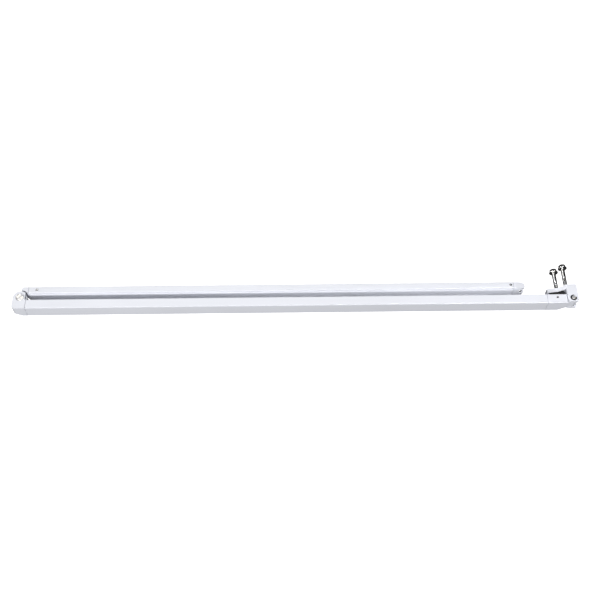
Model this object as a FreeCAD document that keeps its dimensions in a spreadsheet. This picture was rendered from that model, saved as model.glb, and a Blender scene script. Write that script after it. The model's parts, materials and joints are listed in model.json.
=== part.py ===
import FreeCAD, Part
import math
import os
import re
import Sketcher
from FreeCAD import Placement, Rotation, Vector

# A lateral folding arm for an awning, folded shut, driven by a gas strut hidden in its upper arm.
#
# Millimetres, +Z up. The origin is on the bracket's clamp face, straight behind the shoulder pivot
# and halfway up the arm. +Y points out of that face, into the post or plate that the bracket is
# bolted to, and the folded arm runs towards -X. Both pivots are upright, so the whole arm folds in
# a level plane.

doc = FreeCAD.newDocument("folding_arm")
sheet = doc.addObject("Spreadsheet::Sheet", "dims")

DIMENSIONS = {
    # the pivots
    "face_to_pivot": 39,
    "arm_reach": 1340,
    "elbow_offset": 20.9,
    "rail_reach": 1221,
    "elbow_pin_radius": 6,
    "press_gap": 0.03,
    "running_gap": 0.05,
    # the two aluminium tubes
    "upper_width": 25,
    "upper_shift": 1.5,
    "upper_height": 36,
    "upper_wall": 1.8,
    "upper_corner": 2.5,
    "fore_width": 18,
    "fore_height": 34,
    "fore_wall": 1.6,
    "fore_corner": 2.2,
    "plug_length": 45,
    "plug_gap": 0.2,
    "seam_gap": 1,
    "shoulder_seam": 62,
    "elbow_seam": 16,
    "fore_seam": 18.5,
    "rail_seam": 20,
    # the bracket
    "ear_half_width": 13,
    "ear_thick": 8,
    "ear_top": 22,
    "ear_front": 9.5,
    "ear_corner": 5,
    "low_ear_top": 4.7,
    "low_ear_foot": 10.5,
    "plate_thick": 11,
    "wing_reach": 55,
    "wing_end_z": 1,
    "wing_knee_x": 29,
    "wing_knee_z": 6,
    "wing_corner": 5,
    "web_gap": 15.5,
    # the two bolts that clamp the bracket to a square bar
    "bolt_radius": 5,
    "bolt_thread_gap": 0.08,
    "left_bolt_x": -28,
    "left_bolt_z": -8,
    "right_bolt_x": -10.5,
    "right_bolt_z": 11,
    "bolt_tip_depth": 8,
    "bolt_out": 52,
    "flange_radius": 11,
    "flange_edge": 1.4,
    "flange_tall": 3.2,
    "hex_flat": 16,
    "hex_tall": 7,
    # the rubber block on the bracket's plate
    "buffer_inset": 4,
    "buffer_edge": 1.2,
    "buffer_gap": 0.5,
    # the shoulder
    "shoulder_face": 14.5,
    "shoulder_pin_radius": 4.5,
    "knuckle_radius": 9,
    "knuckle_top": 12.7,
    "knuckle_foot": 3.4,
    "bush_wall": 2,
    "bush_flange": 0.9,
    "shoulder_bush_flange": 8.7,
    "elbow_bush_flange": 11.5,
    "pin_head_radius": 7.6,
    "pin_head_tall": 2.4,
    "shoulder_pin_proud": 3.2,
    "elbow_pin_inset": 0.4,
    "clip_groove": 0.9,
    "clip_up": 1.6,
    "clip_thick": 1,
    "clip_reach": 3.1,
    "set_screw_radius": 3,
    "set_screw_long": 12,
    "set_screw_socket": 1.6,
    "set_screw_x": 36.5,
    "set_screw_side": 5,
    # the elbow
    "nose_radius": 17.3,
    "nose_flat": 12,
    "slot_half": 12,
    "slot_radius": 16.6,
    "tongue_half": 5.5,
    "tongue_radius": 12,
    "tongue_slot_radius": 20.8,
    "fore_clear": 20.6,
    "corner_round": 8,
    "bevel_long": 23,
    "bevel_wide": 14,
    "bevel_tall": 13,
    "counterbore_radius": 10.2,
    "counterbore_deep": 3.5,
    "elbow_head_radius": 9.5,
    "driver_slot_long": 8.2,
    "driver_slot_half": 1.8,
    "driver_slot_deep": 2.6,
    # the pulleys and the cable
    "pulley_radius": 14,
    "pulley_rim": 16,
    "pulley_half": 11,
    "cable_radius": 1.5,
    "cable_height": 8.5,
    "groove_half": 1.7,
    "cable_wrap": 150,
    "cable_anchor": 120,
    "channel_half": 2.2,
    "end_stop_radius": 1.95,
    "end_stop_half": 1.55,
    "dowel_radius": 1,
    "dowel_ring": 10,
    "dowel_inset": 0.6,
    "ferrule_wall": 0.55,
    "ferrule_long": 9,
    # the gas strut, measured from the elbow pivot
    "anchor_start": 110,
    "anchor_thick": 16,
    "strut_start": 130,
    "strut_length": 270,
    "strut_radius": 7.5,
    "strut_wall": 1.2,
    "rod_radius": 4,
    "guide_length": 12,
    "piston_start": 180,
    "piston_thick": 10,
    "saddle_start": 370,
    "saddle_thick": 12,
    "crosshead_start": 440,
    "crosshead_thick": 25,
    "crosshead_socket": 14,
    "slider_gap": 0.2,
    # the nose that takes the front rail's pin
    "rail_nose_radius": 9,
    "rail_slot_half": 7,
    "rail_slot_deep": 5,
    "rail_tip_half": 12,
    "rail_bore": 3,
    "rail_bush_radius": 4.2,
    "rail_bush_flange": 4.9,
    "rail_bush_top": 11,
    # rivets
    "rivet_radius": 2,
    "rivet_head": 3.4,
    "rivet_head_tall": 1,
    "rivet_long": 7,
    "rivet_inset": 23,
}

for row, (alias, value) in enumerate(DIMENSIONS.items(), start=1):
    sheet.set(f"A{row}", alias)
    sheet.set(f"B{row}", str(value))
    sheet.setAlias(f"B{row}", alias)
doc.recompute()

PLANES = {"top": "XY_Plane", "front": "XZ_Plane", "side": "YZ_Plane"}

# places that many pieces share, as expressions over the sheet
SHOULDER_Y = "(-face_to_pivot)"
ELBOW_X = "(-arm_reach)"
ELBOW_Y = "(elbow_offset - face_to_pivot)"
UPPER_Y = "(upper_shift - face_to_pivot)"
FORE_Y = "(2 * elbow_offset - face_to_pivot)"
RAIL_X = "(rail_reach - arm_reach)"
CABLE_Y = f"({ELBOW_Y} - pulley_radius)"
SHOULDER_END = "(ear_top + shoulder_pin_proud)"
ELBOW_FOOT = "(elbow_pin_inset - upper_height / 2)"
ELBOW_BUSH = "(elbow_pin_radius + bush_wall)"
SHOULDER_BUSH = "(shoulder_pin_radius + bush_wall)"

# the directions from the elbow pivot, in degrees, of the dowels that key the pulleys
DOWEL_TURNS = (30, 270)

# the direction of the driver slot in the elbow pin's head, in degrees
DRIVER_SLOT_TURN = 36

NODES = []


# ---------------------------------------------------------------- helpers

def bound(text):
    """An expression with every dimension written as the sheet's own cell."""
    return re.sub(r"\b[a-z][a-z_]+\b(?!\()", lambda word: "dims." + word.group(), str(text))


def number(text):
    """The present value of an expression."""
    return float(sheet.evalExpression(bound(text)))


def new_body(label):
    """An empty PartDesign body that becomes the node of that name."""
    body = doc.addObject("PartDesign::Body", label)
    body.Label = label
    NODES.append(body)
    return body


def new_sketch(body, plane, at=("0", "0", "0")):
    """A sketch on one of the body's own planes, its origin moved to the point at."""
    east, north, up = at
    offset = {
        "top": (east, north, up),
        "front": (east, up, f"-({north})"),
        "side": (north, up, east),
    }[plane]
    sketch = body.newObject("Sketcher::SketchObject", body.Name + "_sketch")
    role = PLANES[plane]
    support = [item for item in body.Origin.OriginFeatures if item.Role == role][0]
    sketch.AttachmentSupport = [(support, "")]
    sketch.MapMode = "FlatFace"
    for letter, text in zip("xyz", offset):
        sketch.setExpression("AttachmentOffset.Base." + letter, bound(text))
    return sketch


def pin_down(sketch, kind, element, point, text):
    """One distance of a sketch point from the sketch's origin, tied to the sheet."""
    constraint = Sketcher.Constraint(kind, -1, 1, element, point, number(text))
    index = sketch.addConstraint(constraint)
    sketch.setExpression(f"Constraints[{index}]", bound(text))


def outline(sketch, points):
    """A closed outline of straight edges through the points."""
    first = sketch.GeometryCount
    places = [Vector(number(u), number(v), 0) for u, v in points]
    count = len(points)
    for index in range(count):
        edge = Part.LineSegment(places[index], places[(index + 1) % count])
        sketch.addGeometry(edge)
    for index in range(count):
        after = first + (index + 1) % count
        sketch.addConstraint(Sketcher.Constraint("Coincident", first + index, 2, after, 1))
    for index, (u, v) in enumerate(points):
        pin_down(sketch, "DistanceX", first + index, 1, u)
        pin_down(sketch, "DistanceY", first + index, 1, v)


def rectangle(sketch, low_u, low_v, high_u, high_v):
    """An upright rectangle between two corners."""
    outline(sketch, [(low_u, low_v), (high_u, low_v), (high_u, high_v), (low_u, high_v)])


def circle(sketch, u, v, radius):
    """A circle with its centre and radius tied to the sheet."""
    index = sketch.addGeometry(
        Part.Circle(Vector(number(u), number(v), 0), Vector(0, 0, 1), number(radius))
    )
    pin_down(sketch, "DistanceX", index, 3, u)
    pin_down(sketch, "DistanceY", index, 3, v)
    size = sketch.addConstraint(Sketcher.Constraint("Radius", index, number(radius)))
    sketch.setExpression(f"Constraints[{size}]", bound(radius))


def span(side, near, far):
    """Two heights in rising order, mirrored to below the middle when side is -1."""
    ends = [f"{side} * ({near})", f"{side} * ({far})"]
    return ends if side > 0 else ends[::-1]


def around_elbow(radius, degrees):
    """The X and Y of a point at a radius and a direction from the elbow pivot."""
    turn = math.radians(degrees)
    return (
        f"({ELBOW_X} + {radius} * {math.cos(turn):.6f})",
        f"({ELBOW_Y} + {radius} * {math.sin(turn):.6f})",
    )


def settle(feature):
    """Recomputes the document and stops if the feature could not be made."""
    doc.recompute()
    if {"Invalid", "Error", "Touched"} & set(feature.State):
        raise RuntimeError(f"{feature.Name}: {feature.State}")
    return feature


def pad(body, sketch, length, both=False, reverse=False):
    """Adds the sketch's area along its normal, half each way when both is set."""
    feature = body.newObject("PartDesign::Pad", body.Name + "_pad")
    feature.Profile = sketch
    feature.setExpression("Length", bound(length))
    feature.SideType = "Symmetric" if both else "One side"
    feature.Reversed = reverse
    return settle(feature)


def pocket(body, sketch, length, both=False, reverse=False):
    """Cuts the sketch's area away, and stops if nothing was cut."""
    before = body.Shape.Volume
    feature = body.newObject("PartDesign::Pocket", body.Name + "_pocket")
    feature.Profile = sketch
    feature.setExpression("Length", bound(length))
    feature.SideType = "Symmetric" if both else "One side"
    feature.Reversed = reverse
    settle(feature)
    if body.Shape.Volume > before - 0.01:
        raise RuntimeError(body.Label + ": a pocket cut nothing")
    return feature


def spin(body, sketch, axis):
    """Turns the sketch's area right round one of the sketch's own axes."""
    feature = body.newObject("PartDesign::Revolution", body.Name + "_turned")
    feature.Profile = sketch
    feature.ReferenceAxis = (sketch, [axis])
    feature.Angle = 360
    return settle(feature)


def ease(body, radius, chosen, chamfer=False):
    """Rounds or chamfers the edges of the body's tip that chosen picks."""
    tip = body.Tip
    names = [f"Edge{i}" for i, edge in enumerate(tip.Shape.Edges, start=1) if chosen(edge)]
    if not names:
        raise RuntimeError(body.Label + ": no edge to ease")
    kind, size = ("Chamfer", "Size") if chamfer else ("Fillet", "Radius")
    feature = body.newObject("PartDesign::" + kind, body.Name + "_" + kind)
    feature.Base = (tip, names)
    feature.setExpression(size, bound(radius))
    return settle(feature)


def straight_along(edge, axis):
    """Whether an edge is straight and runs along the axis 0, 1 or 2."""
    if edge.Curve.TypeId != "Part::GeomLine":
        return False
    ends = [vertex.Point for vertex in edge.Vertexes]
    return all(abs(ends[0][k] - ends[1][k]) < 1e-6 for k in range(3) if k != axis)


def middle(edge):
    """The middle of an edge's box."""
    return edge.BoundBox.Center


def turned(label, plane, axis, at, points):
    """A lathe-turned piece: an outline spun about one axis of its sketch at the point at."""
    body = new_body(label)
    sketch = new_sketch(body, plane, at)
    outline(sketch, points)
    spin(body, sketch, axis)
    return body


def grouped(label, bodies):
    """One node that holds several alike but separate solids."""
    for body in bodies:
        NODES.remove(body)
    group = doc.addObject("Part::Compound", label)
    group.Label = label
    group.Links = bodies
    NODES.append(group)
    doc.recompute()
    return group


def tube(label, near_x, far_x, centre_y, kind):
    """A drawn rectangular tube with round outer corners."""
    body = new_body(label)
    half_wide, half_tall = f"{kind}_width / 2", f"{kind}_height / 2"
    outer = new_sketch(body, "side", (near_x, centre_y, "0"))
    rectangle(outer, f"-{half_wide}", f"-{half_tall}", half_wide, half_tall)
    pad(body, outer, f"{far_x} - {near_x}")
    ease(body, f"{kind}_corner", lambda edge: straight_along(edge, 0))
    inner = new_sketch(body, "side", (near_x, centre_y, "0"))
    wall = f"{kind}_wall"
    rectangle(
        inner,
        f"{wall} - {half_wide}",
        f"{wall} - {half_tall}",
        f"{half_wide} - {wall}",
        f"{half_tall} - {wall}",
    )
    pocket(body, inner, f"2 * ({far_x} - {near_x})", both=True)
    return body


def tube_body(body, near_x, far_x, centre_y, kind):
    """A cast block with the tube's own outer section, so that the two are flush."""
    half_wide, half_tall = f"{kind}_width / 2", f"{kind}_height / 2"
    sketch = new_sketch(body, "side", (near_x, centre_y, "0"))
    rectangle(sketch, f"-{half_wide}", f"-{half_tall}", half_wide, half_tall)
    pad(body, sketch, f"{far_x} - {near_x}")
    ease(body, f"{kind}_corner", lambda edge: straight_along(edge, 0))


def bar_inside(body, near_x, length, centre_y, kind, gap):
    """A block that fits inside a tube, with the gap all round."""
    half_wide = f"({kind}_width / 2 - {kind}_wall - {gap})"
    half_tall = f"({kind}_height / 2 - {kind}_wall - {gap})"
    sketch = new_sketch(body, "side", (near_x, centre_y, "0"))
    rectangle(sketch, f"-{half_wide}", f"-{half_tall}", half_wide, half_tall)
    pad(body, sketch, length)


def upright_hole(body, x, y, radius, low, high):
    """A round hole along Z from low to high."""
    sketch = new_sketch(body, "top", (x, y, high))
    circle(sketch, "0", "0", radius)
    pocket(body, sketch, f"({high}) - ({low})")


def cable_slots(body, near_x, far_x):
    """The passage along X beside the strut that both cable strands run through."""
    sketch = new_sketch(body, "side", (far_x, UPPER_Y, "0"))
    low_y = f"{CABLE_Y} - {UPPER_Y} - cable_radius - 0.8"
    high_y = "upper_width / 2 - upper_wall + 0.1"
    for side in (-1, 1):
        low, high = span(side, "cable_height - channel_half", "cable_height + channel_half")
        rectangle(sketch, low_y, low, high_y, high)
    pocket(body, sketch, f"({far_x}) - ({near_x})")


# ---------------------------------------------------------------- the bracket

def shoulder_bracket():
    """A casting: a winged plate with two tapped holes, and two ears that hold the shoulder pin."""
    body = new_body("shoulder_bracket")
    plate = new_sketch(body, "front")
    outline(
        plate,
        [
            ("ear_half_width", "-ear_top"),
            ("ear_half_width", "ear_top"),
            ("-ear_half_width + 3", "ear_top"),
            ("-wing_knee_x", "wing_knee_z"),
            ("-wing_reach", "wing_end_z"),
            ("-wing_reach", "-ear_top"),
        ],
    )
    pad(body, plate, "plate_thick")
    wing_end = -number("wing_reach")
    ease(
        body,
        "wing_corner",
        lambda edge: straight_along(edge, 1) and abs(middle(edge).x - wing_end) < 0.1,
    )
    front = "-face_to_pivot - ear_front"
    ears = new_sketch(body, "top", ("0", "0", "-low_ear_foot"))
    rectangle(ears, "-ear_half_width", front, "ear_half_width", "-plate_thick / 2")
    pad(body, ears, "ear_top + low_ear_foot")
    front_y = number(front)
    ease(
        body,
        "ear_corner",
        lambda edge: straight_along(edge, 2) and abs(middle(edge).y - front_y) < 0.01,
    )
    gap = new_sketch(body, "top", ("0", "0", "-low_ear_top"))
    rectangle(
        gap,
        "-2 * ear_half_width",
        "-face_to_pivot - 2 * ear_half_width",
        "2 * ear_half_width",
        "web_gap - face_to_pivot",
    )
    pocket(body, gap, "ear_top - ear_thick + low_ear_top", reverse=True)
    top = number("ear_top")
    front_y = number("-face_to_pivot + 1")
    ease(
        body,
        "1",
        lambda edge: abs(middle(edge).z - top) < 0.01 and middle(edge).y < front_y,
    )
    bore = "shoulder_pin_radius + press_gap"
    upright_hole(body, "0", SHOULDER_Y, bore, "ear_top - ear_thick - 1", "ear_top + 1")
    upright_hole(body, "0", SHOULDER_Y, bore, "-low_ear_foot - 1", "1 - low_ear_top")
    holes = new_sketch(body, "front", ("0", "1", "0"))
    for name in ("left", "right"):
        circle(holes, f"{name}_bolt_x", f"{name}_bolt_z", "bolt_radius + bolt_thread_gap")
    pocket(body, holes, "plate_thick + 2", reverse=True)
    return body


def stop_buffer():
    """A rubber block on the plate that the folded arm comes to rest against."""
    body = new_body("stop_buffer")
    face = new_sketch(body, "front", ("0", "-plate_thick", "0"))
    outline(
        face,
        [
            ("buffer_inset - wing_reach", "buffer_inset - ear_top"),
            ("-ear_half_width - buffer_inset", "buffer_inset - ear_top"),
            ("-ear_half_width - buffer_inset", "ear_top - 2 * buffer_inset"),
            ("-wing_knee_x", "wing_knee_z - buffer_edge"),
            ("buffer_inset - wing_reach", "wing_end_z - buffer_edge"),
        ],
    )
    pad(body, face, f"-{UPPER_Y} - upper_width / 2 - plate_thick - buffer_gap")
    ease(body, "2", lambda edge: straight_along(edge, 1))
    return body


def mounting_bolt(name):
    """A flanged hexagon bolt, backed out by the thickness of the bar that it clamps."""
    at = (f"{name}_bolt_x", "0", f"{name}_bolt_z")
    body = turned(
        f"mounting_bolt_{name}",
        "top",
        "V_Axis",
        at,
        [
            ("0", "-bolt_tip_depth"),
            ("bolt_radius - 1", "-bolt_tip_depth"),
            ("bolt_radius", "1 - bolt_tip_depth"),
            ("bolt_radius", "bolt_out"),
            ("flange_radius", "bolt_out"),
            ("flange_radius", "bolt_out + flange_edge"),
            ("hex_flat / 2", "bolt_out + flange_tall"),
            ("0", "bolt_out + flange_tall"),
        ],
    )
    at_head = (f"{name}_bolt_x", "bolt_out + 2", f"{name}_bolt_z")
    hexagon = new_sketch(body, "front", at_head)
    corner = "hex_flat / sqrt(3)"
    turns = [math.radians(60 * k) for k in range(6)]
    outline(
        hexagon,
        [(f"{corner} * {math.cos(turn):.6f}", f"{corner} * {math.sin(turn):.6f}") for turn in turns],
    )
    pad(body, hexagon, "hex_tall", reverse=True)
    far = number("bolt_out + 2 + hex_tall")
    ease(body, "0.8", lambda edge: abs(edge.BoundBox.YMin - far) < 0.01, chamfer=True)
    return body


# ---------------------------------------------------------------- pins and bushes

def pin_profile(radius, tail, up, head_low, head_tall, head_radius):
    """Half a pin's section: its tail with a clip's groove, its shank and its head.

    The heights run from the tail to the head when up is 1, and the other way when it is -1.
    """
    groove = f"{radius} - clip_groove"
    clip_near = f"{tail} + {up} * clip_up"
    clip_far = f"{tail} + {up} * (clip_up + clip_thick + 0.1)"
    head_top = f"{head_low} + {up} * {head_tall}"
    return [
        ("0", tail),
        (f"{radius} - 0.8", tail),
        (radius, f"{tail} + {up} * 0.8"),
        (radius, clip_near),
        (groove, clip_near),
        (groove, clip_far),
        (radius, clip_far),
        (radius, head_low),
        (head_radius, head_low),
        (head_radius, f"{head_top} - {up} * 0.8"),
        (f"{head_radius} - 0.8", head_top),
        ("0", head_top),
    ]


def shoulder_pin():
    """The pin through the bracket's ears, its head below and its clip on top."""
    profile = pin_profile(
        "shoulder_pin_radius",
        SHOULDER_END,
        -1,
        "(-low_ear_foot)",
        "pin_head_tall",
        "pin_head_radius",
    )
    return turned("shoulder_pin", "front", "V_Axis", ("0", SHOULDER_Y, "0"), profile)


def elbow_pin():
    """The pin through the elbow fork, its dished and slotted head flush in a counterbore."""
    seat = "(upper_height / 2 - counterbore_deep)"
    profile = pin_profile(
        "elbow_pin_radius", ELBOW_FOOT, 1, seat, "counterbore_deep", "elbow_head_radius"
    )
    body = turned("elbow_pin", "front", "V_Axis", (ELBOW_X, ELBOW_Y, "0"), profile)
    top = "upper_height / 2"
    upright_hole(body, ELBOW_X, ELBOW_Y, "elbow_head_radius - 1.2", f"{top} - 1", f"{top} + 1")
    turn = math.radians(DRIVER_SLOT_TURN)
    along, across = math.cos(turn), math.sin(turn)
    corners = []
    for far, side in ((1, 1), (-1, 1), (-1, -1), (1, -1)):
        x = f"{far * along:.6f} * driver_slot_long - {side * across:.6f} * driver_slot_half"
        y = f"{far * across:.6f} * driver_slot_long + {side * along:.6f} * driver_slot_half"
        corners.append((x, y))
    slot = new_sketch(body, "top", (ELBOW_X, ELBOW_Y, top))
    outline(slot, corners)
    pocket(body, slot, "driver_slot_deep")
    return body


def spring_clip(label, x, y, low, radius):
    """A ring with a wide gap that snaps into the pin's groove."""
    body = new_body(label)
    at = (x, y, low)
    ring = new_sketch(body, "top", at)
    circle(ring, "0", "0", f"{radius} + clip_reach")
    circle(ring, "0", "0", f"{radius} - clip_groove + 0.05")
    pad(body, ring, "clip_thick")
    gap = new_sketch(body, "top", at)
    reach = f"({radius} + 2 * clip_reach)"
    outline(
        gap,
        [("0", "0"), (reach, f"{reach} / 5"), (reach, reach), (f"{reach} / 5", reach)],
    )
    pocket(body, gap, "2 * clip_thick + 2", both=True)
    return body


def flanged_bushes(label, at, pin, half, flange):
    """Two plain bearings with a flange, pressed into a bore from above and below."""
    inner = f"{pin} + running_gap"
    outer = f"{pin} + bush_wall"
    pieces = []
    for name, side in (("upper", 1), ("lower", -1)):
        pieces.append(
            turned(
                f"{label}_{name}",
                "front",
                "V_Axis",
                at,
                [
                    (inner, f"{side} * 0.3"),
                    (outer, f"{side} * 0.3"),
                    (outer, f"{side} * {half}"),
                    (flange, f"{side} * {half}"),
                    (flange, f"{side} * ({half} + bush_flange)"),
                    (inner, f"{side} * ({half} + bush_flange)"),
                ],
            )
        )
    return grouped(label, pieces)


def shoulder_bushes():
    """The bearings in the shoulder knuckle's eye."""
    at = ("0", SHOULDER_Y, "(knuckle_top - knuckle_foot) / 2")
    half = "((knuckle_top + knuckle_foot) / 2)"
    return flanged_bushes("shoulder_bushes", at, "shoulder_pin_radius", half, "shoulder_bush_flange")


def elbow_bushes():
    """The bearings in the pulleys and the elbow's tongue."""
    at = (ELBOW_X, ELBOW_Y, "0")
    return flanged_bushes("elbow_bushes", at, "elbow_pin_radius", "pulley_half", "elbow_bush_flange")


def rivets(label, places):
    """Domed rivets: each place is its x, its y, the face it sits on and which way is out."""
    pieces = []
    for index, (x, y, face, side) in enumerate(places, start=1):
        pieces.append(
            turned(
                f"{label}_{index}",
                "front",
                "V_Axis",
                (x, y, face),
                [
                    ("0", f"{side} * -rivet_long"),
                    ("rivet_radius", f"{side} * -rivet_long"),
                    ("rivet_radius", "0"),
                    ("rivet_head", "0"),
                    ("rivet_head - 0.5", f"{side} * rivet_head_tall * 0.6"),
                    ("rivet_head - 1.6", f"{side} * rivet_head_tall"),
                    ("0", f"{side} * rivet_head_tall"),
                ],
            )
        )
    return grouped(label, pieces)


def rivet_hole(body, x, y, face, side):
    """The hole that a rivet's shank fills."""
    low, high = f"{face} - (rivet_long + 1)", f"{face} + 1"
    if side < 0:
        low, high = f"{face} - 1", f"{face} + (rivet_long + 1)"
    upright_hole(body, x, y, "rivet_radius + press_gap", low, high)


UNDER_UPPER = "(-upper_height / 2)"
ON_FORE = "(fore_height / 2)"
UNDER_FORE = "(-fore_height / 2)"
UPPER_RIVETS = [
    (f"({ELBOW_X} + elbow_seam + rivet_inset)", UPPER_Y, UNDER_UPPER, -1),
    ("(-shoulder_seam - rivet_inset)", UPPER_Y, UNDER_UPPER, -1),
]
STRUT_RIVETS = [
    (f"({ELBOW_X} + anchor_start + anchor_thick / 2)", UPPER_Y, UNDER_UPPER, -1),
    (f"({ELBOW_X} + saddle_start + saddle_thick / 2)", UPPER_Y, UNDER_UPPER, -1),
]
FORE_RIVETS = [
    (x, FORE_Y, face, side)
    for x in (f"({ELBOW_X} + fore_seam + rivet_inset - 3)", f"({RAIL_X} - rail_seam - 7)")
    for face, side in ((ON_FORE, 1), (UNDER_FORE, -1))
]


# ---------------------------------------------------------------- the upper arm

def shoulder_knuckle():
    """A casting plugged into the upper arm, with the eye that turns on the shoulder pin."""
    body = new_body("shoulder_knuckle")
    tube_body(body, "(seam_gap - shoulder_seam)", "(-shoulder_face)", UPPER_Y, "upper")
    half_tall = "upper_height / 2"
    bevel = new_sketch(body, "front", ("0", SHOULDER_Y, "0"))
    outline(
        bevel,
        [
            ("-shoulder_face - 22", f"-{half_tall} - 1"),
            ("-shoulder_face + 1", f"-{half_tall} - 1"),
            ("-shoulder_face + 1", "-knuckle_foot - 1"),
            ("-shoulder_face", "-knuckle_foot - 1"),
            ("-shoulder_face - 20", f"-{half_tall}"),
            ("-shoulder_face - 22", f"-{half_tall}"),
        ],
    )
    pocket(body, bevel, "2 * upper_width", both=True)
    tall = "knuckle_top + knuckle_foot"
    eye = new_sketch(body, "top", ("0", "0", "-knuckle_foot"))
    circle(eye, "0", SHOULDER_Y, "knuckle_radius")
    pad(body, eye, tall)
    neck = new_sketch(body, "top", ("0", "0", "-knuckle_foot"))
    rectangle(
        neck,
        "-shoulder_face - 2",
        f"{SHOULDER_Y} - knuckle_radius",
        "0",
        f"{SHOULDER_Y} + knuckle_radius",
    )
    pad(body, neck, tall)
    plug = "plug_length + seam_gap + 1"
    bar_inside(body, "(-shoulder_seam - plug_length)", plug, UPPER_Y, "upper", "plug_gap")
    bore = f"{SHOULDER_BUSH} + press_gap"
    upright_hole(body, "0", SHOULDER_Y, bore, "-knuckle_foot - 1", "knuckle_top + 1")
    upright_hole(
        body,
        "-set_screw_x",
        f"{SHOULDER_Y} + set_screw_side",
        "set_screw_radius + press_gap",
        f"{half_tall} - set_screw_long - 2",
        f"{half_tall} + 1",
    )
    rivet_hole(body, *UPPER_RIVETS[1])
    return body


def tilt_set_screw():
    """A socket set screw in the top of the knuckle, for trimming the arm's pitch."""
    top = "upper_height / 2 - 0.6"
    return turned(
        "tilt_set_screw",
        "front",
        "V_Axis",
        ("-set_screw_x", f"{SHOULDER_Y} + set_screw_side", "0"),
        [
            ("0", f"{top} - set_screw_long"),
            ("set_screw_radius - 1", f"{top} - set_screw_long"),
            ("set_screw_radius", f"{top} - set_screw_long + 1"),
            ("set_screw_radius", top),
            ("set_screw_socket", top),
            ("set_screw_socket", f"{top} - 2 * set_screw_socket"),
            ("0", f"{top} - 2 * set_screw_socket"),
        ],
    )


def upper_arm_tube():
    """The larger tube, from the elbow fork to the shoulder knuckle."""
    body = tube(
        "upper_arm_tube", f"({ELBOW_X} + elbow_seam)", "(-shoulder_seam)", UPPER_Y, "upper"
    )
    for place in UPPER_RIVETS + STRUT_RIVETS:
        rivet_hole(body, *place)
    return body


def near_bevel(body):
    """Slants off the fork's lower corner on its near side, as one flat from three edges."""
    middle_of_flat = (
        f"{ELBOW_X} - nose_radius + bevel_long / 3",
        f"{UPPER_Y} - upper_width / 2 + bevel_wide / 3",
        "bevel_tall / 3 - upper_height / 2",
    )
    sketch = new_sketch(body, "top", middle_of_flat)
    outward = Vector(
        -1 / number("bevel_long"), -1 / number("bevel_wide"), -1 / number("bevel_tall")
    )
    sketch.AttachmentOffset = Placement(Vector(0, 0, 0), Rotation(Vector(0, 0, 1), outward))
    reach = "2 * bevel_long"
    rectangle(sketch, f"-{reach}", f"-{reach}", reach, reach)
    pocket(body, sketch, reach, reverse=True)


def elbow_fork():
    """A casting plugged into the upper arm: two ears that hold the elbow pin, and a web."""
    body = new_body("elbow_fork")
    seam_x = f"({ELBOW_X} + elbow_seam)"
    half_wide, half_tall = "upper_width / 2", "upper_height / 2"
    leg = new_sketch(body, "top")
    rectangle(
        leg,
        f"{ELBOW_X} - nose_radius",
        f"{UPPER_Y} - {half_wide}",
        f"{seam_x} - seam_gap",
        f"{UPPER_Y} + {half_wide}",
    )
    pad(body, leg, "upper_height", both=True)
    near_y = number(f"{UPPER_Y} - {half_wide}")
    end_x = number(f"{ELBOW_X} - nose_radius")
    ease(
        body,
        "corner_round",
        lambda edge: straight_along(edge, 2)
        and abs(middle(edge).x - end_x) < 0.01
        and abs(middle(edge).y - near_y) < 0.01,
    )
    for side in (-1, 1):
        low = "slot_half" if side > 0 else f"-{half_tall}"
        ear = new_sketch(body, "top", ("0", "0", low))
        circle(ear, ELBOW_X, ELBOW_Y, "nose_radius")
        pad(body, ear, f"{half_tall} - slot_half")
        cheek = new_sketch(body, "top", ("0", "0", low))
        rectangle(
            cheek, f"{ELBOW_X} - nose_radius", f"{UPPER_Y} + {half_wide} - 1", ELBOW_X, ELBOW_Y
        )
        pad(body, cheek, f"{half_tall} - slot_half")
    trim = new_sketch(body, "top")
    rectangle(
        trim,
        f"{ELBOW_X} + nose_flat",
        f"{UPPER_Y} + {half_wide}",
        f"{ELBOW_X} + 2 * nose_radius",
        f"{ELBOW_Y} + 2 * nose_radius",
    )
    pocket(body, trim, "2 * upper_height", both=True)
    wells = (("slot_radius", "slot_half"), ("tongue_slot_radius", "(tongue_half + 0.6)"))
    for radius, half in wells:
        well = new_sketch(body, "top")
        circle(well, ELBOW_X, ELBOW_Y, radius)
        pocket(body, well, f"2 * {half}", both=True)
    top = number(half_tall)
    ease(
        body,
        "1.2",
        lambda edge: abs(abs(middle(edge).z) - top) < 0.01
        and edge.BoundBox.ZLength < 0.01
        and middle(edge).x < number(seam_x) - 1.1,
    )
    near_bevel(body)
    plug = "plug_length + seam_gap + 1"
    bar_inside(body, f"{seam_x} - seam_gap - 1", plug, UPPER_Y, "upper", "plug_gap")
    channel = new_sketch(body, "side", (f"{seam_x} + plug_length", UPPER_Y, "0"))
    rectangle(
        channel,
        f"{CABLE_Y} - {UPPER_Y} - cable_radius - 0.8",
        "-cable_height - channel_half",
        f"{half_wide} - upper_wall + 0.1",
        "cable_height + channel_half",
    )
    pocket(body, channel, "plug_length + elbow_seam")
    for side in (-1, 1):
        low, high = span(side, "slot_half - 1", f"{half_tall} + 1")
        upright_hole(body, ELBOW_X, ELBOW_Y, "elbow_pin_radius + press_gap", low, high)
        low, high = span(side, f"{half_tall} - counterbore_deep", f"{half_tall} + 1")
        upright_hole(body, ELBOW_X, ELBOW_Y, "counterbore_radius", low, high)
    rivet_hole(body, *UPPER_RIVETS[0])
    return body


# ---------------------------------------------------------------- the gas strut

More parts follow.
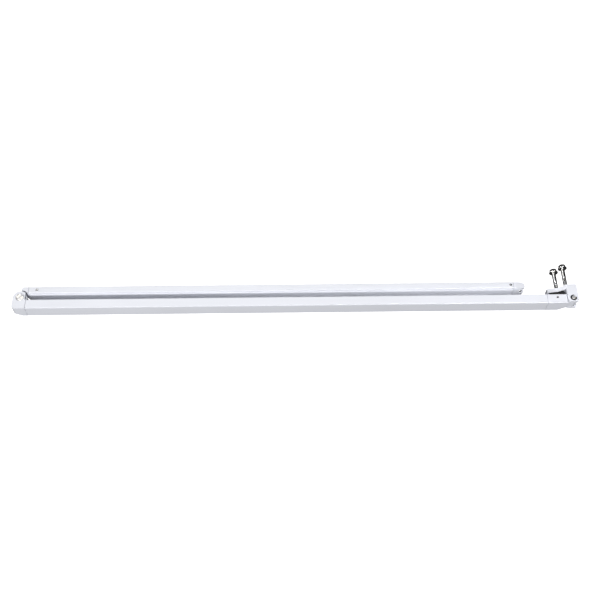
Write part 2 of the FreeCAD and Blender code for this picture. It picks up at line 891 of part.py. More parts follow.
def strut_anchor():
    """The block riveted into the upper arm that the strut pushes against."""
    body = new_body("strut_anchor")
    start = f"({ELBOW_X} + anchor_start)"
    bar_inside(body, start, "anchor_thick", UPPER_Y, "upper", "plug_gap")
    stud = new_sketch(body, "side", (f"{start} + anchor_thick", UPPER_Y, "0"))
    circle(stud, "0", "0", "rod_radius + press_gap")
    pocket(body, stud, "2 * anchor_thick", both=True)
    cable_slots(body, f"{start} - 1", f"{start} + anchor_thick + 1")
    rivet_hole(body, *STRUT_RIVETS[0])
    return body


def strut_cylinder():
    """The pressure tube, closed at the elbow end by a base with a stud."""
    back = "strut_start"
    front = "strut_start + strut_length"
    inner = "strut_radius - strut_wall"
    return turned(
        "strut_cylinder",
        "top",
        "H_Axis",
        (ELBOW_X, UPPER_Y, "0"),
        [
            ("anchor_start + 2", "0"),
            ("anchor_start + 2", "rod_radius"),
            (back, "rod_radius"),
            (back, "strut_radius - 1"),
            (f"{back} + 1", "strut_radius"),
            (f"{front} - 1", "strut_radius"),
            (front, "strut_radius - 0.6"),
            (front, inner),
            (f"{back} + 4", inner),
            (f"{back} + 4", "0"),
        ],
    )


def rod_guide():
    """The bearing and seal block at the mouth of the pressure tube."""
    front = "strut_start + strut_length - 0.5"
    return turned(
        "rod_guide",
        "top",
        "H_Axis",
        (ELBOW_X, UPPER_Y, "0"),
        [
            (f"{front} - guide_length", "rod_radius + running_gap"),
            (f"{front} - guide_length", "strut_radius - strut_wall - 0.02"),
            (front, "strut_radius - strut_wall - 0.02"),
            (front, "rod_radius + running_gap"),
        ],
    )


def strut_piston():
    """The piston on the rod's inner end, with a groove for its ring."""
    outer = "strut_radius - strut_wall - running_gap"
    start = "piston_start"
    third = "piston_thick / 3"
    return turned(
        "strut_piston",
        "top",
        "H_Axis",
        (ELBOW_X, UPPER_Y, "0"),
        [
            (start, "rod_radius - 1 + press_gap"),
            (start, outer),
            (f"{start} + {third}", outer),
            (f"{start} + {third}", f"{outer} - 1"),
            (f"{start} + 2 * {third}", f"{outer} - 1"),
            (f"{start} + 2 * {third}", outer),
            (f"{start} + piston_thick", outer),
            (f"{start} + piston_thick", "rod_radius - 1 + press_gap"),
        ],
    )


def strut_rod():
    """The polished rod, from the piston to the crosshead."""
    return turned(
        "strut_rod",
        "top",
        "H_Axis",
        (ELBOW_X, UPPER_Y, "0"),
        [
            ("piston_start - 1", "0"),
            ("piston_start - 1", "rod_radius - 1"),
            ("piston_start + piston_thick", "rod_radius - 1"),
            ("piston_start + piston_thick", "rod_radius"),
            ("crosshead_start + crosshead_socket", "rod_radius"),
            ("crosshead_start + crosshead_socket", "0"),
        ],
    )


def strut_saddle():
    """A plastic block that keeps the front of the pressure tube in line."""
    body = new_body("strut_saddle")
    start = f"({ELBOW_X} + saddle_start)"
    bar_inside(body, start, "saddle_thick", UPPER_Y, "upper", "plug_gap")
    seat = new_sketch(body, "side", (start, UPPER_Y, "0"))
    circle(seat, "0", "0", "strut_radius + 0.05")
    pocket(body, seat, "3 * saddle_thick", both=True)
    cable_slots(body, f"{start} - 1", f"{start} + saddle_thick + 1")
    rivet_hole(body, *STRUT_RIVETS[1])
    return body


def crosshead():
    """The block that the rod pushes along the tube, drawing both cable strands with it."""
    body = new_body("crosshead")
    start = f"({ELBOW_X} + crosshead_start)"
    bar_inside(body, start, "crosshead_thick", UPPER_Y, "upper", "slider_gap")
    socket = new_sketch(body, "side", (start, UPPER_Y, "0"))
    circle(socket, "0", "0", "rod_radius + press_gap")
    pocket(body, socket, "crosshead_socket + 0.2", reverse=True)
    ways = new_sketch(body, "side", (start, CABLE_Y, "0"))
    for side in (-1, 1):
        circle(ways, "0", f"{side} * cable_height", "cable_radius + 0.1")
    pocket(body, ways, "3 * crosshead_thick", both=True)
    return body


# ---------------------------------------------------------------- the cable

def cable_strands():
    """The two straight strands, from the pulleys to the crosshead's far face."""
    pieces = []
    for name, side in (("upper", 1), ("lower", -1)):
        pieces.append(
            turned(
                f"strand_{name}",
                "top",
                "H_Axis",
                (ELBOW_X, CABLE_Y, f"{side} * cable_height"),
                [
                    ("0.2", "0"),
                    ("0.2", "cable_radius"),
                    ("crosshead_start + crosshead_thick + 4", "cable_radius"),
                    ("crosshead_start + crosshead_thick + 4", "0"),
                ],
            )
        )
    return grouped("cable_strands", pieces)


def cable_ferrules():
    """The crimped sleeves that stop the strands behind the crosshead."""
    pieces = []
    start = "crosshead_start + crosshead_thick"
    for name, side in (("upper", 1), ("lower", -1)):
        pieces.append(
            turned(
                f"ferrule_{name}",
                "top",
                "H_Axis",
                (ELBOW_X, CABLE_Y, f"{side} * cable_height"),
                [
                    (start, "cable_radius + 0.01"),
                    (start, "cable_radius + ferrule_wall"),
                    (f"{start} + ferrule_long", "cable_radius + ferrule_wall"),
                    (f"{start} + ferrule_long", "0"),
                    (f"{start} + 4.05", "0"),
                    (f"{start} + 4.05", "cable_radius + 0.01"),
                ],
            )
        )
    return grouped("cable_ferrules", pieces)


def cable_wraps():
    """The parts of the strands that lie round the pulleys while the arm is folded."""
    pieces = []
    for name, side in (("upper", 1), ("lower", -1)):
        wrap = doc.addObject("Part::Torus", f"wrap_{name}")
        wrap.setExpression("Radius1", bound("pulley_radius"))
        wrap.setExpression("Radius2", bound("cable_radius"))
        wrap.setExpression("Angle3", bound("cable_wrap"))
        wrap.setExpression("Placement.Base.x", bound(ELBOW_X))
        wrap.setExpression("Placement.Base.y", bound(ELBOW_Y))
        wrap.setExpression("Placement.Base.z", bound(f"{side} * cable_height"))
        wrap.Placement.Rotation = Rotation(Vector(0, 0, 1), number("cable_anchor"))
        NODES.append(wrap)
        pieces.append(wrap)
    return grouped("cable_wraps", pieces)


def cable_end_stops():
    """The barrels on the strands' ends, each in a pocket of its pulley."""
    x, y = around_elbow("pulley_radius", number("cable_anchor") - 9)
    radius = "end_stop_radius"
    pieces = []
    for name, side in (("upper", 1), ("lower", -1)):
        low, high = span(side, "cable_height - end_stop_half", "cable_height + end_stop_half")
        pieces.append(
            turned(
                f"end_stop_{name}",
                "front",
                "V_Axis",
                (x, y, "0"),
                [("0", low), (radius, low), (radius, high), ("0", high)],
            )
        )
    return grouped("cable_end_stops", pieces)


def dowel_holes(body, low, high):
    """The holes that the two dowels sit in."""
    for turn in DOWEL_TURNS:
        x, y = around_elbow("dowel_ring", turn)
        upright_hole(body, x, y, "dowel_radius + press_gap", low, high)


def cable_pulleys():
    """Two grooved discs keyed above and below the forearm's tongue."""
    x, y = around_elbow("pulley_radius", number("cable_anchor") - 9)
    pieces = []
    for name, side in (("upper", 1), ("lower", -1)):
        inner = f"{ELBOW_BUSH} + press_gap"
        groove = "pulley_radius - cable_radius - 0.1"
        body = turned(
            f"pulley_{name}",
            "front",
            "V_Axis",
            (ELBOW_X, ELBOW_Y, "0"),
            [
                (inner, f"{side} * (tongue_half + 0.02)"),
                ("pulley_rim", f"{side} * (tongue_half + 0.02)"),
                ("pulley_rim", f"{side} * (cable_height - groove_half)"),
                (groove, f"{side} * (cable_height - groove_half)"),
                (groove, f"{side} * (cable_height + groove_half)"),
                ("pulley_rim", f"{side} * (cable_height + groove_half)"),
                ("pulley_rim", f"{side} * pulley_half"),
                (inner, f"{side} * pulley_half"),
            ],
        )
        half = "(end_stop_half + 0.05)"
        low, high = span(side, f"cable_height - {half}", f"cable_height + {half}")
        upright_hole(body, x, y, "end_stop_radius + 0.05", low, high)
        low, high = span(side, "tongue_half", "pulley_half - dowel_inset + 0.2")
        dowel_holes(body, low, high)
        pieces.append(body)
    return grouped("cable_pulleys", pieces)


def pulley_dowels():
    """The two dowels that stop the pulleys turning on the tongue."""
    radius = "dowel_radius"
    end = "(pulley_half - dowel_inset)"
    pieces = []
    for index, turn in enumerate(DOWEL_TURNS, start=1):
        x, y = around_elbow("dowel_ring", turn)
        pieces.append(
            turned(
                f"dowel_{index}",
                "front",
                "V_Axis",
                (x, y, "0"),
                [("0", f"-{end}"), (radius, f"-{end}"), (radius, end), ("0", end)],
            )
        )
    return grouped("pulley_dowels", pieces)


# ---------------------------------------------------------------- the forearm

def elbow_knuckle():
    """A casting plugged into the forearm, with the tongue that turns on the elbow pin."""
    body = new_body("elbow_knuckle")
    seam_x = f"({ELBOW_X} + fore_seam)"
    half_wide = "fore_width / 2"
    tube_body(body, f"({ELBOW_X} + 1)", f"({seam_x} - seam_gap)", FORE_Y, "fore")
    corner = new_sketch(body, "top")
    outline(
        corner,
        [
            (ELBOW_X, f"{FORE_Y} + {half_wide} + 1"),
            (ELBOW_X, f"{FORE_Y} + {half_wide} - 6"),
            (f"{ELBOW_X} + 6", f"{FORE_Y} + {half_wide} + 1"),
        ],
    )
    pocket(body, corner, "2 * fore_height", both=True)
    well = new_sketch(body, "top")
    circle(well, ELBOW_X, ELBOW_Y, "fore_clear")
    pocket(body, well, "2 * fore_height", both=True)
    tongue = new_sketch(body, "top")
    circle(tongue, ELBOW_X, ELBOW_Y, "tongue_radius")
    pad(body, tongue, "2 * tongue_half", both=True)
    leg = new_sketch(body, "top")
    rectangle(leg, f"{ELBOW_X} - 2", ELBOW_Y, f"{ELBOW_X} + 11", f"{FORE_Y} - 0.5")
    pad(body, leg, "2 * tongue_half", both=True)
    plug = "plug_length + seam_gap + 1"
    bar_inside(body, f"{seam_x} - seam_gap - 1", plug, FORE_Y, "fore", "plug_gap")
    bore = f"{ELBOW_BUSH} + press_gap"
    upright_hole(body, ELBOW_X, ELBOW_Y, bore, "-tongue_half - 1", "tongue_half + 1")
    dowel_holes(body, "-tongue_half - 1", "tongue_half + 1")
    for place in FORE_RIVETS[:2]:
        rivet_hole(body, *place)
    return body


def forearm_tube():
    """The smaller tube, from the elbow knuckle to the rail nose."""
    body = tube(
        "forearm_tube",
        f"({ELBOW_X} + fore_seam)",
        f"({RAIL_X} - rail_seam)",
        FORE_Y,
        "fore",
    )
    for place in FORE_RIVETS:
        rivet_hole(body, *place)
    return body


def rail_fork():
    """The rounded nose with a slot and an upright bore for the front rail's pin."""
    body = new_body("rail_fork")
    seam_x = f"({RAIL_X} - rail_seam)"
    half_wide, half_tall = "fore_width / 2", "fore_height / 2"
    tube_body(body, f"({seam_x} + seam_gap)", RAIL_X, FORE_Y, "fore")
    nose = new_sketch(body, "top")
    circle(nose, RAIL_X, FORE_Y, "rail_nose_radius")
    pad(body, nose, "fore_height", both=True)
    for side in (-1, 1):
        slope = new_sketch(body, "front", ("0", FORE_Y, "0"))
        outline(
            slope,
            [
                (f"{RAIL_X} - 15", f"{side} * ({half_tall} + 2)"),
                (f"{RAIL_X} - 15", f"{side} * {half_tall}"),
                (f"{RAIL_X} + rail_nose_radius + 1", f"{side} * rail_tip_half"),
                (f"{RAIL_X} + rail_nose_radius + 1", f"{side} * ({half_tall} + 2)"),
            ],
        )
        pocket(body, slope, "2 * fore_width", both=True)
    slot = new_sketch(body, "top")
    rectangle(
        slot,
        f"{RAIL_X} - rail_slot_deep",
        f"{FORE_Y} - fore_width",
        f"{RAIL_X} + 2 * rail_nose_radius",
        f"{FORE_Y} + fore_width",
    )
    pocket(body, slot, "2 * rail_slot_half", both=True)
    plug = "plug_length + seam_gap + 1"
    bar_inside(body, f"{seam_x} - plug_length", plug, FORE_Y, "fore", "plug_gap")
    bore = "rail_bush_radius + press_gap"
    upright_hole(body, RAIL_X, FORE_Y, bore, f"-{half_tall} - 1", "rail_bush_top + press_gap")
    for place in FORE_RIVETS[2:]:
        rivet_hole(body, *place)
    return body


def rail_bushes():
    """Two flanged plastic bushes in the nose, one above and one below its slot."""
    pieces = []
    for name, side in (("upper", 1), ("lower", -1)):
        pieces.append(
            turned(
                f"rail_bush_{name}",
                "front",
                "V_Axis",
                (RAIL_X, FORE_Y, "0"),
                [
                    ("rail_bore", f"{side} * (rail_slot_half - 1)"),
                    ("rail_bush_flange", f"{side} * (rail_slot_half - 1)"),
                    ("rail_bush_flange", f"{side} * rail_slot_half"),
                    ("rail_bush_radius", f"{side} * rail_slot_half"),
                    ("rail_bush_radius", f"{side} * rail_bush_top"),
                    ("rail_bore", f"{side} * rail_bush_top"),
                ],
            )
        )
    return grouped("rail_bushes", pieces)


# ---------------------------------------------------------------- the whole arm

def build():
    """Makes every piece."""
    shoulder_bracket()
    stop_buffer()
    shoulder_pin()
    clip_low = f"{SHOULDER_END} - clip_up - clip_thick - 0.05"
    spring_clip("shoulder_clip", "0", SHOULDER_Y, clip_low, "shoulder_pin_radius")
    for name in ("left", "right"):
        mounting_bolt(name)

    shoulder_knuckle()
    shoulder_bushes()
    tilt_set_screw()
    upper_arm_tube()
    rivets("upper_arm_rivets", UPPER_RIVETS)
    elbow_fork()
    elbow_pin()
    clip_low = f"{ELBOW_FOOT} + clip_up + 0.05"
    spring_clip("elbow_clip", ELBOW_X, ELBOW_Y, clip_low, "elbow_pin_radius")

    strut_anchor()
    strut_cylinder()
    rod_guide()
    strut_saddle()
    rivets("strut_rivets", STRUT_RIVETS)
    strut_piston()
    strut_rod()
    crosshead()
    cable_strands()
    cable_ferrules()

    cable_wraps()
    cable_end_stops()
    cable_pulleys()
    pulley_dowels()
    elbow_knuckle()
    elbow_bushes()
    forearm_tube()
    rivets("forearm_rivets", FORE_RIVETS)
    rail_fork()
    rail_bushes()
    doc.recompute()


def write():
    """Checks every object and node, then writes one STEP file for each node."""
    for item in doc.Objects:
        if {"Invalid", "Error"} & set(item.State):
            raise RuntimeError(item.Label + ": " + ", ".join(item.State))
    os.makedirs("parts", exist_ok=True)
    for node in NODES:
        if node.Shape.isNull() or not node.Shape.isValid():
            raise RuntimeError(node.Label + ": no valid shape")
        node.Shape.exportStep(f"parts/{node.Label}.step")
        box = node.Shape.BoundBox
        print(
            f"{node.Label}: {len(node.Shape.Solids)} solid(s), {node.Shape.Volume / 1000:.2f} cm3, "
            f"x {box.XMin:.1f} to {box.XMax:.1f}, y {box.YMin:.1f} to {box.YMax:.1f}, "
            f"z {box.ZMin:.1f} to {box.ZMax:.1f}"
        )


build()
write()
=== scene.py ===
"""The looks of a folding awning arm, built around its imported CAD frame. Metres, in the frame's axes."""
import json
import math

import bmesh
import bpy
from mathutils import Matrix, Vector


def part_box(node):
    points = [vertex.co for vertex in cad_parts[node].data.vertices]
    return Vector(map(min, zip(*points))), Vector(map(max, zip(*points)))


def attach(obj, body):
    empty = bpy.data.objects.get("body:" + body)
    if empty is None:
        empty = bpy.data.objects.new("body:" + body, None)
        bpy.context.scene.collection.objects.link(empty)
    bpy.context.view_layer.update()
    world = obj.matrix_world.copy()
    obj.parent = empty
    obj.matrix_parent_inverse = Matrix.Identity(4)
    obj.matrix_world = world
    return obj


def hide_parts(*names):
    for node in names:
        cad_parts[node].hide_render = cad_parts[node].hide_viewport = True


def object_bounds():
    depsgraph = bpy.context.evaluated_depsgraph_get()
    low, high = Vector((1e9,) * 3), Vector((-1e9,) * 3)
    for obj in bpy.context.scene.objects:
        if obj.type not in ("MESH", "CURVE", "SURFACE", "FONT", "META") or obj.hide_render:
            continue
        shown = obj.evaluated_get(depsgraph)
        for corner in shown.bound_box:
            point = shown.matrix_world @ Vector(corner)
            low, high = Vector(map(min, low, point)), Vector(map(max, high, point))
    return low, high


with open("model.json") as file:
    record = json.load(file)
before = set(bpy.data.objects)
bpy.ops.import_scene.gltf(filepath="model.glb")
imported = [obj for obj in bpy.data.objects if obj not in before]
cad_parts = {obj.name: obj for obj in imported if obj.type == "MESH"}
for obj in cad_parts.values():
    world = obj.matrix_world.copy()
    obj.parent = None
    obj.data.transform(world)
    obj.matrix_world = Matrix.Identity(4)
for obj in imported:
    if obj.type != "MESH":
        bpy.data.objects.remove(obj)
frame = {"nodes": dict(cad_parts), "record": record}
CAD_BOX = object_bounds()

MM = 0.001
NODES = frame["nodes"]


# ---------------------------------------------------------------- materials

# The mix node repeats its sockets for each data type; these are the ones for colours.
COLOUR_MIX_SOCKETS = (0, 6, 7)
COLOUR_MIX_OUTPUT = 2


class Shader:
    """A material's node tree, with short ways to add the nodes that every finish here uses."""

    def __init__(self, name):
        self.material = bpy.data.materials.new(name)
        self.material.use_nodes = True
        self.tree = self.material.node_tree
        self.surface = self.tree.nodes["Principled BSDF"]
        coordinates = self.tree.nodes.new("ShaderNodeTexCoord")
        self.place = coordinates.outputs["Object"]

    def link(self, output, socket):
        self.tree.links.new(output, socket)

    def stretched(self, factors):
        """The object's own coordinates, scaled by a factor for each axis."""
        mapping = self.tree.nodes.new("ShaderNodeMapping")
        mapping.inputs["Scale"].default_value = factors
        self.link(self.place, mapping.inputs["Vector"])
        return mapping.outputs["Vector"]

    def noise(self, scale, detail=4.0, factors=(1, 1, 1), roughness=0.55):
        """Noise with features about one over scale metres across, squeezed by the factors."""
        node = self.tree.nodes.new("ShaderNodeTexNoise")
        node.inputs["Scale"].default_value = scale
        node.inputs["Detail"].default_value = detail
        node.inputs["Roughness"].default_value = roughness
        self.link(self.stretched(factors), node.inputs["Vector"])
        return node.outputs["Fac"]

    def cells(self, scale, factors=(1, 1, 1)):
        """Distance to the nearest of a set of scattered points."""
        node = self.tree.nodes.new("ShaderNodeTexVoronoi")
        node.inputs["Scale"].default_value = scale
        self.link(self.stretched(factors), node.inputs["Vector"])
        return node.outputs["Distance"]

    def ramp(self, value, stops):
        """Colours along a value: each stop is its place and its colour."""
        node = self.tree.nodes.new("ShaderNodeValToRGB")
        elements = node.color_ramp.elements
        while len(elements) < len(stops):
            elements.new(0.5)
        for element, (place, colour) in zip(elements, stops):
            element.position = place
            element.color = (*colour, 1)
        self.link(value, node.inputs["Fac"])
        return node.outputs["Color"]

    def between(self, value, low, high, start=0.3, end=0.7):
        """A value stretched from start and end to low and high."""
        node = self.tree.nodes.new("ShaderNodeMapRange")
        node.inputs["From Min"].default_value = start
        node.inputs["From Max"].default_value = end
        node.inputs["To Min"].default_value = low
        node.inputs["To Max"].default_value = high
        self.link(value, node.inputs["Value"])
        return node.outputs["Result"]

    def blend(self, factor, first, second, mode="MIX"):
        """Two colours mixed by a factor."""
        node = self.tree.nodes.new("ShaderNodeMix")
        node.data_type = "RGBA"
        node.blend_type = mode
        for socket, source in zip(COLOUR_MIX_SOCKETS, (factor, first, second)):
            self.link(source, node.inputs[socket])
        return node.outputs[COLOUR_MIX_OUTPUT]

    def bump(self, height, depth, after=None):
        """A bump of that depth in metres, on top of an earlier one."""
        node = self.tree.nodes.new("ShaderNodeBump")
        node.inputs["Strength"].default_value = 1.0
        node.inputs["Distance"].default_value = depth
        self.link(height, node.inputs["Height"])
        if after:
            self.link(after, node.inputs["Normal"])
        return node.outputs["Normal"]

    def finish(self, colour, roughness, normal, metallic=0.0, specular=0.5, coat=0.0):
        """Joins the colour, roughness and normal to the surface, and returns the material."""
        self.link(colour, self.surface.inputs["Base Color"])
        self.link(roughness, self.surface.inputs["Roughness"])
        self.link(normal, self.surface.inputs["Normal"])
        self.surface.inputs["Metallic"].default_value = metallic
        self.surface.inputs["Specular IOR Level"].default_value = specular
        self.surface.inputs["Coat Weight"].default_value = coat
        self.surface.inputs["Coat Roughness"].default_value = 0.25
        return self.material


def tinted(colour, factor):
    """A colour made lighter or darker."""
    return tuple(min(1.0, part * factor) for part in colour)


WHITE = (0.80, 0.815, 0.87)


def powder_coat(name, grain, drawn):
    """White powder coat: orange peel, faint handling marks, and drawn lines on an extrusion."""
    shader = Shader(name)
    cloud = shader.noise(9, 5, (0.35, 1, 1))
    colour = shader.ramp(
        cloud, [(0.25, tinted(WHITE, 0.965)), (0.5, WHITE), (0.8, tinted(WHITE, 1.03))]
    )
    specks = shader.ramp(
        shader.cells(160), [(0.0, (0.80, 0.79, 0.78)), (0.05, (0.97, 0.97, 0.97)), (0.09, (1, 1, 1))]
    )
    sparse = shader.between(shader.noise(14, 3), 0.0, 0.55, 0.52, 0.72)
    colour = shader.blend(sparse, colour, shader.blend(sparse, colour, specks, "MULTIPLY"))
    roughness = shader.between(shader.noise(55, 6, (0.2, 1, 1)), 0.34, 0.52)
    normal = shader.bump(shader.noise(grain, 3), 0.00006)
    if drawn:
        lines = shader.noise(900, 2, (0.004, 1, 1))
        normal = shader.bump(lines, 0.00003, normal)
    return shader.finish(colour, roughness, normal, specular=0.45, coat=0.12)


def bright_zinc(name, colour, low, high):
    """Bright zinc plate, with a faint yellow and blue bloom and rubbed marks."""
    shader = Shader(name)
    bloom = shader.noise(120, 5)
    shade = shader.ramp(
        bloom,
        [
            (0.2, tinted(colour, 0.72)),
            (0.42, colour),
            (0.55, (colour[0] * 1.08, colour[1] * 1.05, colour[2] * 0.97)),
            (0.8, tinted(colour, 1.22)),
        ],
    )
    roughness = shader.between(shader.noise(700, 4), low, high)
    normal = shader.bump(shader.noise(1600, 3), 0.00003)
    return shader.finish(shade, roughness, normal, metallic=1.0)


def turned_metal(name, colour, low, high, metallic=1.0):
    """A machined surface: fine tool lines round and across it, and small stains."""
    shader = Shader(name)
    stain = shader.noise(90, 5)
    shade = shader.ramp(
        stain, [(0.25, tinted(colour, 0.7)), (0.5, colour), (0.8, tinted(colour, 1.15))]
    )
    roughness = shader.between(shader.noise(1200, 3, (0.1, 1, 1)), low, high)
    normal = shader.bump(shader.noise(2600, 2, (1, 1, 0.2)), 0.00002)
    return shader.finish(shade, roughness, normal, metallic=metallic)


def dark_moulded(name, colour, low, high, grain, depth, specular=0.4):
    """Rubber or plastic: a fine grain, dust in patches, and a rubbed sheen."""
    shader = Shader(name)
    dust = shader.noise(60, 6)
    shade = shader.ramp(
        dust,
        [
            (0.3, tinted(colour, 0.8)),
            (0.55, colour),
            (0.85, tuple(part + 0.022 for part in colour)),
        ],
    )
    roughness = shader.between(shader.noise(260, 4), low, high)
    normal = shader.bump(shader.noise(grain, 3), depth)
    return shader.finish(shade, roughness, normal, specular=specular)


FINISHES = {
    "drawn": powder_coat("powder_coat_drawn", 1500, True),
    "cast": powder_coat("powder_coat_cast", 800, False),
    "steel": bright_zinc("zinc_plated_steel", (0.47, 0.475, 0.485), 0.18, 0.34),
    "pin": bright_zinc("dull_zinc_pin", (0.86, 0.86, 0.87), 0.5, 0.65),
    "chrome": turned_metal("polished_rod", (0.75, 0.76, 0.78), 0.06, 0.16),
    # Near-black: the colour of black steel parts, and also painted shade inside the rivet mouths and the
    # set screw's socket.
    "black_steel": dark_moulded("black_steel_and_painted_recess_shade", (0.022, 0.022, 0.025), 0.25, 0.4, 900, 0.00004),
    "zinc": turned_metal("cast_zinc", (0.42, 0.43, 0.45), 0.38, 0.58),
    "brass": turned_metal("machined_brass", (0.66, 0.50, 0.24), 0.22, 0.4),
    "wire_rope": turned_metal("wire_rope", (0.5, 0.5, 0.51), 0.25, 0.45),
    "black_rubber": dark_moulded("black_rubber", (0.012, 0.012, 0.013), 0.6, 0.8, 700, 0.00008),
    "black_plastic": dark_moulded("black_acetal", (0.018, 0.018, 0.02), 0.35, 0.5, 1400, 0.00003),
}

SLOT_OF = {part["node"]: part["material_slot"] for part in frame["record"]["subparts"]}
DRAWN = ("upper_arm_tube", "forearm_tube")
PINS = ("shoulder_pin", "elbow_pin")


def finish_of(node):
    """The finish for a CAD node: its slot's, where drawn and cast coats and pins differ."""
    slot = SLOT_OF[node]
    if node in PINS:
        return FINISHES["pin"]
    if slot == "powder_coat":
        return FINISHES["drawn" if node in DRAWN else "cast"]
    return FINISHES[slot]


for name, node in NODES.items():
    node.data.materials.clear()
    node.data.materials.append(finish_of(name))


# ---------------------------------------------------------------- detailed pieces

WELD = 0.01 * MM
SEGMENTS = 48
TURNS = [2 * math.pi * index / SEGMENTS for index in range(SEGMENTS)]
CREASE = math.radians(32)


def show(name, made, body, node, finishes):
    """Turns a finished bmesh into a piece that rides on a body and stands for a CAD node."""
    bmesh.ops.recalc_face_normals(made, faces=made.faces)
    mesh = bpy.data.meshes.new(name)
    made.to_mesh(mesh)
    made.free()
    mesh.shade_smooth()
    mesh.set_sharp_from_angle(angle=CREASE)
    for finish in finishes:
        mesh.materials.append(finish)
    piece = bpy.data.objects.new(name, mesh)
    bpy.context.scene.collection.objects.link(piece)
    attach(piece, body)
    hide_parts(node)


def round_ring(radius):
    """A ring's radius at any turn, for a round ring."""
    return lambda turn: radius


def hexagon_ring(flats, limit):
    """A ring's radius at any turn, for a hexagon that a chamfer keeps inside the limit."""
    def radius(turn):
        off = (turn + math.pi / 6) % (math.pi / 3) - math.pi / 6
        return min(flats / 2 / math.cos(math.pi / 6 - abs(off)), limit)
    return radius


def thread_ring(radius, depth, pitch, height):
    """A ring's radius at any turn, across a helical thread."""
    def at(turn):
        phase = (height / pitch - turn / (2 * math.pi)) % 1
        return radius - depth * abs(2 * phase - 1)
    return at


def add_rings(made, rings, place, finish=0):
    """Skins rings round an axis: each has a height, and a radius at a turn or None for a point."""
    loops = []
    for height, radius in rings:
        if radius is None:
            loops.append([made.verts.new(place(0, 0, height))])
            continue
        spots = [(radius(turn) * math.cos(turn), radius(turn) * math.sin(turn)) for turn in TURNS]
        loops.append([made.verts.new(place(u, v, height)) for u, v in spots])
    for below, above in zip(loops, loops[1:]):
        for index in range(SEGMENTS):
            after = (index + 1) % SEGMENTS
            corners = [
                below[index % len(below)],
                below[after % len(below)],
                above[after % len(above)],
                above[index % len(above)],
            ]
            face = made.faces.new(list(dict.fromkeys(corners)))
            face.material_index = finish


STEPS_PER_PITCH = 6


def bolt(side):
    """A flanged hexagon bolt with a cut thread on the half nearest its tip."""
    node = "mounting_bolt_" + side
    low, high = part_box(node)
    centre_x = (low.x + high.x) / 2
    centre_z = (low.z + high.z) / 2
    tip, top = low.y, high.y
    shank, flange, flats = 5 * MM, (high.z - low.z) / 2, 16 * MM
    pitch, thread_long, thread_deep = 1.5 * MM, 31 * MM, 0.9 * MM
    seat = top - 9 * MM
    dish_deep = 0.7 * MM
    rings = [(tip, None), (tip, round_ring(shank - 1 * MM))]
    last_step = int(thread_long / pitch * STEPS_PER_PITCH)
    for step in range(STEPS_PER_PITCH // 2, last_step):
        height = tip + step * pitch / STEPS_PER_PITCH
        rings.append((height, thread_ring(shank, thread_deep, pitch, height)))
    rings += [
        (tip + thread_long + 0.8 * MM, round_ring(shank - thread_deep)),
        (tip + thread_long + 1.8 * MM, round_ring(shank - 0.1 * MM)),
        (seat - 0.6 * MM, round_ring(shank - 0.1 * MM)),
        (seat, round_ring(shank + 0.5 * MM)),
        (seat, round_ring(flange - 0.4 * MM)),
        (seat + 0.5 * MM, round_ring(flange)),
        (seat + 1.2 * MM, round_ring(flange)),
        (seat + 1.7 * MM, round_ring(flange - 0.5 * MM)),
        (seat + 2.9 * MM, round_ring(flats / 2 + 1.5 * MM)),
        (seat + 3.2 * MM, hexagon_ring(flats, flange)),
        (top - 1.1 * MM, hexagon_ring(flats, flange)),
        (top - 0.4 * MM, hexagon_ring(flats, flats / 2 + 0.5 * MM)),
        (top, round_ring(flats / 2 - 0.6 * MM)),
        (top, round_ring(5.4 * MM)),
        (top - dish_deep, round_ring(4.9 * MM)),
        (top - dish_deep, None),
    ]
    made = bmesh.new()
    add_rings(made, rings, lambda u, v, height: (centre_x + u, height, centre_z + v))
    show(node + "_threaded", made, "bolt_" + side, node, [FINISHES["steel"]])


def standing_at(x, y, z, side=1):
    """Places a ring's spots round an upright axis; side is 1 for up and -1 for down."""
    return lambda u, v, height: (x + u, y + v, z + side * height)


RIVET_HEAD = 3.4 * MM
RIVET_TALL = 1 * MM


def add_rivet(made, place):
    """One blind rivet: the shell with its domed head, and the mandrel sunk in it; the mouth and mandrel
    are near-black, painted shade in the hole.
    """
    shank, tail, lip = 2 * MM, -7 * MM, 0.95 * MM
    mouth = (lip, round_ring(1.45 * MM))
    shell = [
        (tail, None),
        (tail, round_ring(shank)),
        (0, round_ring(shank)),
        (0, round_ring(RIVET_HEAD)),
        (0.25 * MM, round_ring(RIVET_HEAD)),
        (0.6 * MM, round_ring(3.0 * MM)),
        (0.87 * MM, round_ring(2.4 * MM)),
        (RIVET_TALL, round_ring(1.7 * MM)),
        mouth,
    ]
    mandrel = [
        mouth,
        (-0.3 * MM, round_ring(1.35 * MM)),
        (-0.5 * MM, round_ring(0.9 * MM)),
        (0.1 * MM, round_ring(0.75 * MM)),
        (0.2 * MM, None),
    ]
    add_rings(made, shell, place)
    # The mouth and mandrel take the second, near-black finish: painted shade inside the rivet's hole.
    add_rings(made, mandrel, place, 1)


def rivet_group(node, body, sides):
    """A node's blind rivets, one at each end on each of the sides named."""
    low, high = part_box(node)
    centre_y = (low.y + high.y) / 2
    made = bmesh.new()
    for side in sides:
        face = high.z - RIVET_TALL if side > 0 else low.z + RIVET_TALL
        for centre_x in (low.x + RIVET_HEAD, high.x - RIVET_HEAD):
            add_rivet(made, standing_at(centre_x, centre_y, face, side))
    bmesh.ops.remove_doubles(made, verts=made.verts, dist=WELD)
    show(node + "_domed", made, body, node, [FINISHES["steel"], FINISHES["black_steel"]])


